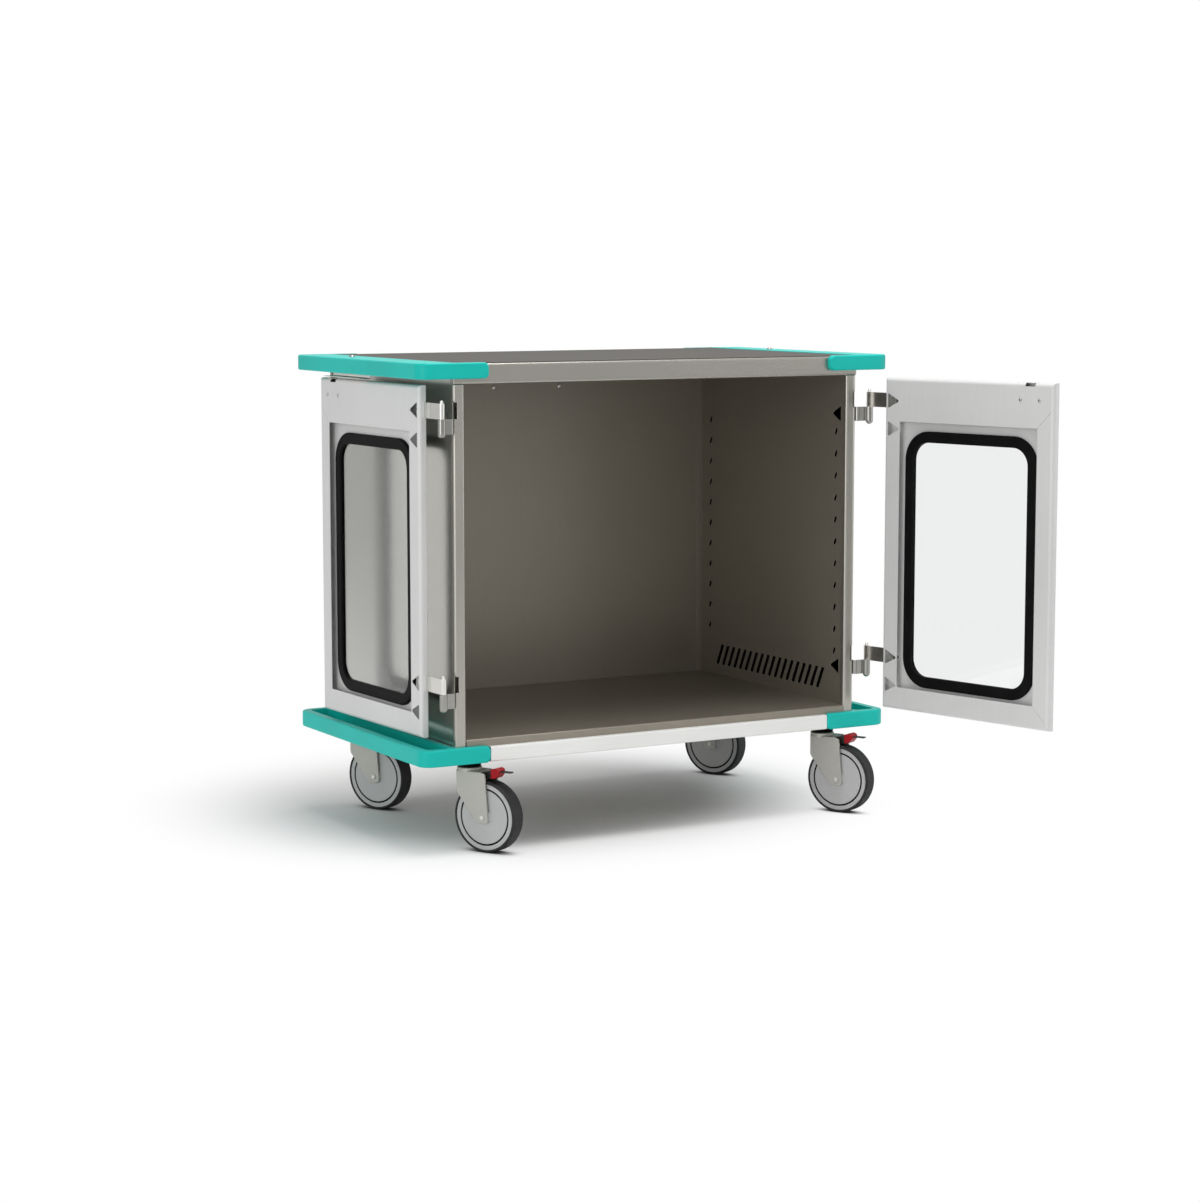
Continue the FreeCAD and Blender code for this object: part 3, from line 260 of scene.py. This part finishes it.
# %% Mouldings
def moulding(name, colour, rough, grain_scale, grain_depth, scuff, sheen):
    """Moulded polymer: cell grain in the bump, slow clouds in the colour, pale scuffs along edges.

    A scuff is edge wear times stepped noise times scuff; its colour is six tenths of the piece's, plus grey.
    """
    coat = Finish(name)
    dull, fair = (shade(colour, factor) for factor in (0.95, 1.05))
    pale = tuple(0.6 * c + 0.3 for c in colour[:3]) + (1.0,)
    normal = rounded_normal(coat, 0.0015)
    wear_and_highlight = edge_wear_and_highlight(coat, normal)
    cloud = noise(coat, scale=5.0, detail=3.0)
    cells = coat.add("ShaderNodeTexVoronoi", {"feature": "SMOOTH_F1"},
                     {"Vector": place(coat), "Scale": grain_scale})
    rubbed = wear_and_highlight * noise(coat, scale=60.0, detail=4.0).step(0.42, 0.62) * scuff
    tone = blend(coat, cloud.step(0.3, 0.7), dull, fair)
    return coat.surface({"Base Color": blend(coat, rubbed, tone, pale), "Specular IOR Level": sheen,
                         "Roughness": rough + (cloud - 0.5) * 0.10 + rubbed * 0.15,
                         "Normal": bumped(coat, cells, 0.12, grain_depth, normal)})


finishes["teal_moulding"] = moulding("teal_skin", (0.006, 0.53, 0.465), rough=0.40, grain_scale=420.0,
                                     grain_depth=0.0004, scuff=0.4, sheen=0.22)
finishes["wheel_grey"] = moulding("wheel_skin", (0.49, 0.49, 0.49), rough=0.45, grain_scale=380.0,
                                  grain_depth=0.0003, scuff=0.35, sheen=0.4)
finishes["red_pedal"] = moulding("pedal_skin", (0.36, 0.003, 0.009), rough=0.32, grain_scale=300.0,
                                 grain_depth=0.0003, scuff=0.2, sheen=0.2)
finishes["handle_black"] = moulding("handle_skin", (0.022, 0.022, 0.023), rough=0.38, grain_scale=420.0,
                                    grain_depth=0.0005, scuff=0.3, sheen=0.5)
print("moulded finishes made")

# %% [markdown]
# ## Plated and coated metal
# Hinges, forks and screws are plated: a grey metal with soft spangle and rub marks. The hinge
# leaves are nearly polished, so they turn dark or bright with what they mirror. The brake levers,
# the latch boxes and the caster plates are black coated. Plain grey would look like paint, so one
# recipe varies them all: crystal cells and slow noise, which hardly show under the black coat.

# %% Plating and black coat
def plated(name, colour, metal, rough, spangle):
    """Metal whose crystal cells differ a little in tone and gloss, lighter on edges: partly wear, partly a
    painted highlight.
    """
    coat = Finish(name)
    dull, fair, polish_and_highlight = (shade(colour, factor) for factor in (0.95, 1.05, 1.3))
    normal = rounded_normal(coat, 0.0008)
    wear_and_highlight = edge_wear_and_highlight(coat, normal)
    cells = coat.add("ShaderNodeTexVoronoi", {}, {"Vector": place(coat), "Scale": spangle}, "Color")
    cell = coat.add("ShaderNodeSeparateColor", {}, {"Color": cells}, "Red")
    cloud = noise(coat, scale=14.0, detail=4.0)
    tone = blend(coat, cell * 0.5 + cloud * 0.5, dull, fair)
    # Lighter edges, partly wear and partly a painted highlight.
    return coat.surface({"Base Color": blend(coat, wear_and_highlight * 0.5, tone, polish_and_highlight), "Metallic": metal,
                         "Roughness": rough + (cell - 0.5) * 0.06 + (cloud - 0.5) * 0.10,
                         "Normal": bumped(coat, cloud, 0.05, 0.0003, normal)})


finishes["zinc_fastener"] = plated("zinc_screw", (0.72, 0.72, 0.71), metal=0.9, rough=0.28, spangle=260.0)
finishes["zinc_hinge"] = plated("hinge_satin", (0.80, 0.79, 0.75), metal=0.95, rough=0.17, spangle=220.0)
finishes["zinc_plate"] = plated("fork_zinc", (0.46, 0.452, 0.418), metal=0.45, rough=0.36, spangle=300.0)
finishes["black_lever"] = plated("black_coat", (0.016, 0.015, 0.014), metal=0.1, rough=0.42, spangle=160.0)
# A darker copy of the hinge plating for the body leaves and bumper bolts: painted shade.
shaded_leaf_finish = plated("body_leaf_satin", (0.36, 0.355, 0.335), metal=0.95, rough=0.20, spangle=220.0)
screw_finish = plated("door_screw", (0.46, 0.46, 0.46), metal=1.0, rough=0.24, spangle=260.0)
print("metal finishes made")

# %% [markdown]
# ## Rubber and glass
# The tyres are dark grey rubber with a dull tread, the window gasket is an extruded black profile,
# and the pane is clear with faint wiping marks. The marks could be smears in the glass itself, but
# here they live in the coat only, so that the pane stays clear.

# %% Rubber and pane
def rubber(name, colour, rough, dust, sheen):
    """Dark rubber with fine pores, and patches where a paler dust is added to the colour."""
    coat = Finish(name)
    dusty = tuple(c + dust for c in colour[:3]) + (1.0,)
    normal = rounded_normal(coat, 0.001)
    pores = noise(coat, scale=900.0, detail=2.0)
    patch = noise(coat, scale=22.0, detail=5.0)
    return coat.surface({"Base Color": blend(coat, patch.step(0.42, 0.75), shade(colour, 1.0), dusty),
                         "Roughness": rough + (patch - 0.5) * 0.2, "Specular IOR Level": sheen,
                         "Normal": bumped(coat, pores, 0.12, 0.0003, normal)})


def clear_pane(name):
    """Glass whose outer gloss is broken by faint wiping marks."""
    coat = Finish(name)
    wipe = noise(coat, scale=7.0, detail=5.0, stretch=(1.0, 1.0, 4.0))
    return coat.surface({"Base Color": (0.90, 0.91, 0.91, 1.0), "Transmission Weight": 1.0, "IOR": 1.4,
                         "Roughness": 0.0, "Coat Weight": wipe.step(0.45, 0.8) * 0.06,
                         "Coat Roughness": 0.2})


finishes["tyre_black"] = rubber("tyre_rubber", (0.016, 0.016, 0.017), rough=0.60, dust=0.012, sheen=0.3)
finishes["gasket_rubber"] = rubber("gasket_skin", (0.006, 0.006, 0.006), rough=0.45, dust=0.003, sheen=0.05)
finishes["window_glass"] = clear_pane("window_clear")
print("finishes:", len(finishes))

# %% [markdown]
# ## Dressing the solids
# The imported record names a finish for every solid, so one loop puts each material on its solid. A few
# solids differ from others of their finish. The deck is painted darker, as painted shade. The rail's grain
# runs along it. The side walls are painted near black within the double wall, as painted shade. The hinges'
# body leaves and the bumper bolts take a darker copy of the hinge plating, also painted shade. The door
# screws are a darker metal. The solids keep their shape and place.

# %% Put the finishes on
slot_of = {part["node"]: part["material_slot"] for part in record["subparts"]}
special = {"top_deck": shaded_deck_finish, "top_front_rail": rail_finish, "outer_sides": side_finish,
           "hinge_body_leaves": shaded_leaf_finish, "bumper_bolts": shaded_leaf_finish,
           "door_screws_left": screw_finish, "door_screws_right": screw_finish}
for name, solid in nodes.items():
    for slot in solid.material_slots:
        slot.material = special.get(name, finishes[slot_of[name]])
print("dressed", len(slot_of), "solids")

# %% [markdown]
# ## Surfaces from arrays
# Small turned pieces are surfaces of two parameters: a profile of radius and height, carried once
# round an axis. Blender's own primitives would need cutting and joining, while whole arrays give
# every point at once, and the faces follow from the grid's rows and columns. With six columns the
# same function makes a hexagon.

# %% Turned surface helper
def grid_faces(rows, count):
    """Quads between neighbouring rows, closed round the columns; they face outward where a profile runs up
    the axis, and up the axis where it runs inward."""
    i, j = np.meshgrid(np.arange(rows - 1), np.arange(count), indexing="ij")
    k = (j + 1) % count
    corners = [i * count + j, i * count + k, (i + 1) * count + k, (i + 1) * count + j]
    return np.stack(corners, -1).reshape(-1, 4)


def turned(profile, centre, axis, count=48):
    """Point (i, j) is centre + height_i * axis + radius_i * (cos t_j * side + sin t_j * other)."""
    axis = np.asarray(axis, float) / np.linalg.norm(axis)
    side = np.cross(axis, (0.3, 0.5, 0.81))
    side /= np.linalg.norm(side)
    other = np.cross(axis, side)
    t = np.linspace(0.0, 2.0 * np.pi, count, endpoint=False)
    ring = np.cos(t)[:, None] * side + np.sin(t)[:, None] * other
    radius, height = np.asarray(profile, float).T
    points = np.asarray(centre) + height[:, None, None] * axis + radius[:, None, None] * ring
    return points.reshape(-1, 3), grid_faces(len(profile), count)


def mesh_object(name, points, faces, material):
    """A mesh at the origin with one material, linked to the scene."""
    mesh = bpy.data.meshes.new(name)
    mesh.from_pydata(points.tolist(), [], faces.tolist())
    mesh.materials.append(material)
    made = bpy.data.objects.new(name, mesh)
    bpy.context.collection.objects.link(made)
    return made


def build(name, surfaces, finish, body, smooth=True, look=None):
    """One piece from several (points, faces) surfaces, with its finish (or a look of its own) and body."""
    starts = np.cumsum([0] + [len(points) for points, _ in surfaces])
    points = np.concatenate([points for points, _ in surfaces])
    faces = np.concatenate([faces + start for (_, faces), start in zip(surfaces, starts)])
    piece = mesh_object(name, points, faces, look or finishes[finish])
    piece.data.polygons.foreach_set("use_smooth", np.full(len(faces), smooth))
    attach(piece, body)
    print(name, len(faces), "faces on", body)


# %% [markdown]
# ## Dust seals on the casters
# Above each fork a black ribbed sleeve keeps dirt out of the ball race. It sits on the fixed race,
# just clear of the turning fork. A stack of rings would do, but one profile with three waves is
# nearer to the moulded sleeve: its radius follows one minus a cosine.

# %% Caster seals
joints = {joint["name"]: joint for joint in record["behaviour"]["joints"]}
casters = ["front_left", "front_right", "back_left", "back_right"]
seal_gap, seal_height = 0.0008, 0.0070
seal_inner, seal_wave, seal_ribs, seal_rows = 0.0231, 0.0010, 3, 37
t = np.linspace(0.0, 1.0, seal_rows)
seal_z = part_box("caster_top_plates")[0][2] + seal_gap + t * seal_height
seal_r = seal_inner + seal_wave * (1.0 - np.cos(2.0 * np.pi * seal_ribs * t))
seal = np.stack([seal_r, seal_z], -1)
spots = [joints["swivel_" + name]["pos_m"][:2] + [0.0] for name in casters]
build("caster_seals", [turned(seal, spot, (0, 0, 1)) for spot in spots], "gasket_rubber", "cabinet")

# %% [markdown]
# ## Rings in the wheels
# A thin black ring lies in the groove between each wheel's disc and its rim, on both faces: painted shade in
# the groove. A dark stripe in the wheel's colour would be flat, so it is a band with rounded edges, turned
# round the axle, and it turns with its wheel. The axle's place and direction come from the wheel's joint.

# %% Wheel rings
ring_middle, ring_half, ring_depth, ring_rise, ring_rows = 0.0605, 0.0019, 0.0152, 0.0010, 9
t = np.linspace(0.0, np.pi, ring_rows)
band = np.stack([ring_middle + ring_half * np.cos(t), ring_depth + ring_rise * np.sin(t) ** 0.5], -1)
for name in casters:
    spin = joints["wheel_spin_" + name]
    axle = np.asarray(spin["axis"], float)
    bands = [turned(band, spin["pos_m"], sign * axle) for sign in (-1.0, 1.0)]
    # The black bands are painted shade in each wheel's groove.
    build("wheel_ring_" + name, bands, "gasket_rubber", "wheel_" + name)

# %% [markdown]
# ## Sockets in the screw heads
# The hinge screws are turned with a hexagon key. The domed heads are in the solids; the key's socket is too
# small to cut, so its shade is painted as a dark hexagon lying just on the head. The heads are found from
# the solids: the points that stand farthest out on each side of the cart, gathered by height.

# %% Screw sockets
def points_of(node):
    """All corner points of a solid as one array."""
    mesh = nodes[node].data
    flat = np.empty(3 * len(mesh.vertices))
    mesh.vertices.foreach_get("co", flat)
    return flat.reshape(-1, 3)


tip_depth, head_reach = 0.00005, 0.006
socket_r, socket_eye, socket_lift, socket_sides = 0.0012, 0.0001, 0.00002, 6
screw_points = points_of("hinge_body_screws")
outermost = np.abs(screw_points[:, 0]).max()
tips = screw_points[np.abs(screw_points[:, 0]) > outermost - tip_depth]
keys = np.unique(np.stack([np.sign(tips[:, 0]), np.round(tips[:, 2], 2)], -1), axis=0)
near = [(np.sign(tips[:, 0]) == side) & (np.abs(tips[:, 2] - level) < head_reach) for side, level in keys]
heads = [tips[chosen].mean(axis=0) for chosen in near]
socket = [(socket_r, socket_lift), (socket_eye, socket_lift)]
sockets = [turned(socket, head, (np.sign(head[0]), 0, 0), socket_sides) for head in heads]
# The black hexagons are painted shade for the sockets' hollows.
build("screw_sockets", sockets, "black_lever", "cabinet", smooth=False)

# %% [markdown]
# ## Tape behind the cut-outs
# Each hinge has a second, empty cut-out below the leaf's end. On the folded left door it looks dark grey,
# from the shade in the door's hollow. Shadow alone would not do that in this studio, so a dark grey sheet of
# painted shade is put behind it, inside the door's flange. The sheet is flat, with four corners, measured
# across the door and into it from the hinge pin and then turned with the folded door.

# %% Cut-out shade sheets
swing = joints["left_door_swing"]
pin = np.asarray(swing["pos_m"])
folded = -math.radians(swing["range_deg"][1])
across = np.array([math.cos(folded), math.sin(folded), 0.0])
into = np.array([-math.sin(folded), math.cos(folded), 0.0])
up = np.array([0.0, 0.0, 1.0])
shade_sheet_inset, shade_sheet_sink, shade_sheet_width, shade_sheet_height = 0.0070, 0.0018, 0.0368, 0.042
cut_out_drop, leaf_half = 0.063, 0.0165
pan = points_of("door_pan_left") - pin
corner = pin + ((pan @ across).min() + shade_sheet_inset) * across + ((pan @ into).max() - shade_sheet_sink) * into
u, v = np.meshgrid((0.0, shade_sheet_width), (-0.5 * shade_sheet_height, 0.5 * shade_sheet_height))
strip = corner + u.reshape(-1, 1) * across + v.reshape(-1, 1) * up
leaf_low, leaf_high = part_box("door_hinge_leaves_left")
levels = (leaf_low[2] + leaf_half, leaf_high[2] - leaf_half)
shade_sheets = [(strip + (level - cut_out_drop) * up, np.array([[0, 2, 3, 1]])) for level in levels]
# The sheet is painted shade: dark grey for the door's shaded hollow.
shade_sheet_look = rubber("foam_tape", (0.15, 0.15, 0.15), rough=0.7, dust=0.03, sheen=0.2)
build("cut_out_tapes", shade_sheets, "gasket_rubber", "left_door", smooth=False, look=shade_sheet_look)

# %% [markdown]
# ## Studio
# The cart stands on a plain pale floor before a white background. A bright white world would wash
# out the metal, so the background is white for the camera and through the glass, a little less in
# mirrors, and a soft grey for all other light. A large lamp overhead, a little to the right, draws
# the soft shadow under the cart. Of two weaker lamps the left one brightens the open doors, and
# both draw bright lines on rounded edges.

# %% World and lamps
def ray(network, kind):
    """1 for one kind of ray and 0 for all others."""
    return network.add("ShaderNodeLightPath", output=kind)


def seen(network):
    """1 for what the camera sees, straight or through glass: the larger of both kinds of ray."""
    return ray(network, "Is Camera Ray").or_more(ray(network, "Is Transmission Ray"))


plain_white = (1.0, 1.0, 1.0, 1.0)
world_light, mirror_share = 0.5, 0.6
world = bpy.data.worlds.new("studio")
bpy.context.scene.world = world
world.use_nodes = True
world.node_tree.nodes.clear()
sky = Network(world.node_tree)
white = sky.add("ShaderNodeBackground", {}, {"Color": plain_white, "Strength": 1.0})
soft = sky.add("ShaderNodeBackground", {}, {"Color": plain_white, "Strength": world_light})
whiteness = seen(sky).or_more(ray(sky, "Is Glossy Ray") * mirror_share)
mixed = sky.add("ShaderNodeMixShader", {}, {0: whiteness, 1: soft, 2: white})
sky.add("ShaderNodeOutputWorld", {}, {"Surface": mixed})


def lamp(name, spot, aim, size, power):
    """Square soft lamp at spot, turned so that it shines at aim."""
    light = bpy.data.lights.new(name, "AREA")
    light.size = size
    light.energy = power
    holder = bpy.data.objects.new(name, light)
    holder.location = spot
    away = np.asarray(aim, float) - np.asarray(spot, float)
    turn = math.atan2(away[0], -away[1])
    tilt = math.atan2(math.hypot(away[0], away[1]), -away[2])
    holder.rotation_euler = (tilt, 0.0, turn + math.pi)
    bpy.context.collection.objects.link(holder)


lamp("key_lamp", spot=(0.25, -0.6, 4.6), aim=(0.0, 0.0, 0.4), size=2.3, power=130.0)
lamp("left_lamp", spot=(-4.7, -2.1, 1.45), aim=(0.0, 0.0, 0.6), size=2.8, power=52.0)
lamp("right_lamp", spot=(4.4, -2.9, 1.45), aim=(0.0, 0.0, 0.6), size=2.4, power=26.0)
print("studio lit")

# %% [markdown]
# ## Floor
# The floor is one large disc. Under the cart it is matt and takes the shadow; farther off the camera sees
# plain white, so that no horizon shows, while mirrors still see the matt floor. The change follows an oval
# round the cart: the distance from its middle, with both directions measured in half axes. The oval lies
# close, so the white glow also paints out the outer edge of the cart's shadow, a painted light. Where a tyre
# stands, the floor is painted darker as a painted contact shadow: a measure of how open each point is keeps
# the narrow gap beside the tyre dark and keeps the glow off it.

# %% Floor disc
half_x, half_y, middle_x, middle_y = 1.0, 0.95, -0.12, 0.20
matt_reach, white_reach = 0.42, 0.95
floor_tone, painted_contact_shadow, contact_gap = (0.90, 0.90, 0.90, 1.0), (0.12, 0.12, 0.12, 1.0), 0.05
ground = Finish("studio_floor")
oval = ground.add("ShaderNodeMapping", {}, {"Vector": place(ground),
                                            "Location": (-middle_x / half_x, -middle_y / half_y, 0.0),
                                            "Scale": (1.0 / half_x, 1.0 / half_y, 1.0)})
reach = ground.add("ShaderNodeVectorMath", {"operation": "LENGTH"}, {0: oval}, "Value")
grit = noise(ground, scale=40.0, detail=3.0)
# Painted contact shadow: the floor's colour darkens where nearby things close it in.
openness = ground.add("ShaderNodeAmbientOcclusion", {"samples": 8}, {"Distance": contact_gap}, "AO")
clear = openness.step(0.15, 0.80)
ground.surface({"Base Color": blend(ground, clear, painted_contact_shadow, floor_tone),
                "Roughness": 0.7 + grit * 0.1, "Specular IOR Level": 0.1})
matt = Wire(ground, ground.shader.outputs[0])
glow = ground.add("ShaderNodeEmission", {}, {"Color": plain_white, "Strength": 1.0})
# The glow also paints out the outer edge of the cart's shadow: painted light.
far = reach.step(matt_reach, white_reach) * seen(ground) * clear
mixed = ground.add("ShaderNodeMixShader", {}, {0: far, 1: matt, 2: glow})
ground.feed(ground.tree.nodes["Material Output"], {"Surface": mixed})
rings = [(30.0, 0.0), (4.0, 0.0), (2.0, 0.0), (0.001, 0.0)]
disc, disc_faces = turned(rings, (0.0, 0.0, 0.0), (0, 0, 1), 64)
floor = mesh_object("floor", disc, disc_faces, ground.material)
print("floor laid")

# %% [markdown]
# ## Camera
# The photograph was taken from the front left, a little above the deck, with a long lens. The place
# and the angles could be set by eye; they were found by fitting the cart's known corners, which is
# surer.

# %% Camera
pitch, yaw = 0.1203, 0.512
sensor_height, focal_pixels, photo_pixels = 36.0, 2815.5, 1202.0
camera_data = bpy.data.cameras.new("photo_camera")
camera_data.sensor_fit = "VERTICAL"
camera_data.sensor_height = sensor_height
camera_data.lens = sensor_height * focal_pixels / photo_pixels
camera = bpy.data.objects.new("photo_camera", camera_data)
camera.location = (-3.1282, -5.6018, 1.2574)
camera.rotation_euler = (math.pi / 2 - pitch, 0.0, -yaw)
bpy.context.collection.objects.link(camera)
bpy.context.scene.camera = camera
bpy.context.scene.view_settings.view_transform = "Standard"
print("lens %.1f mm" % camera_data.lens)
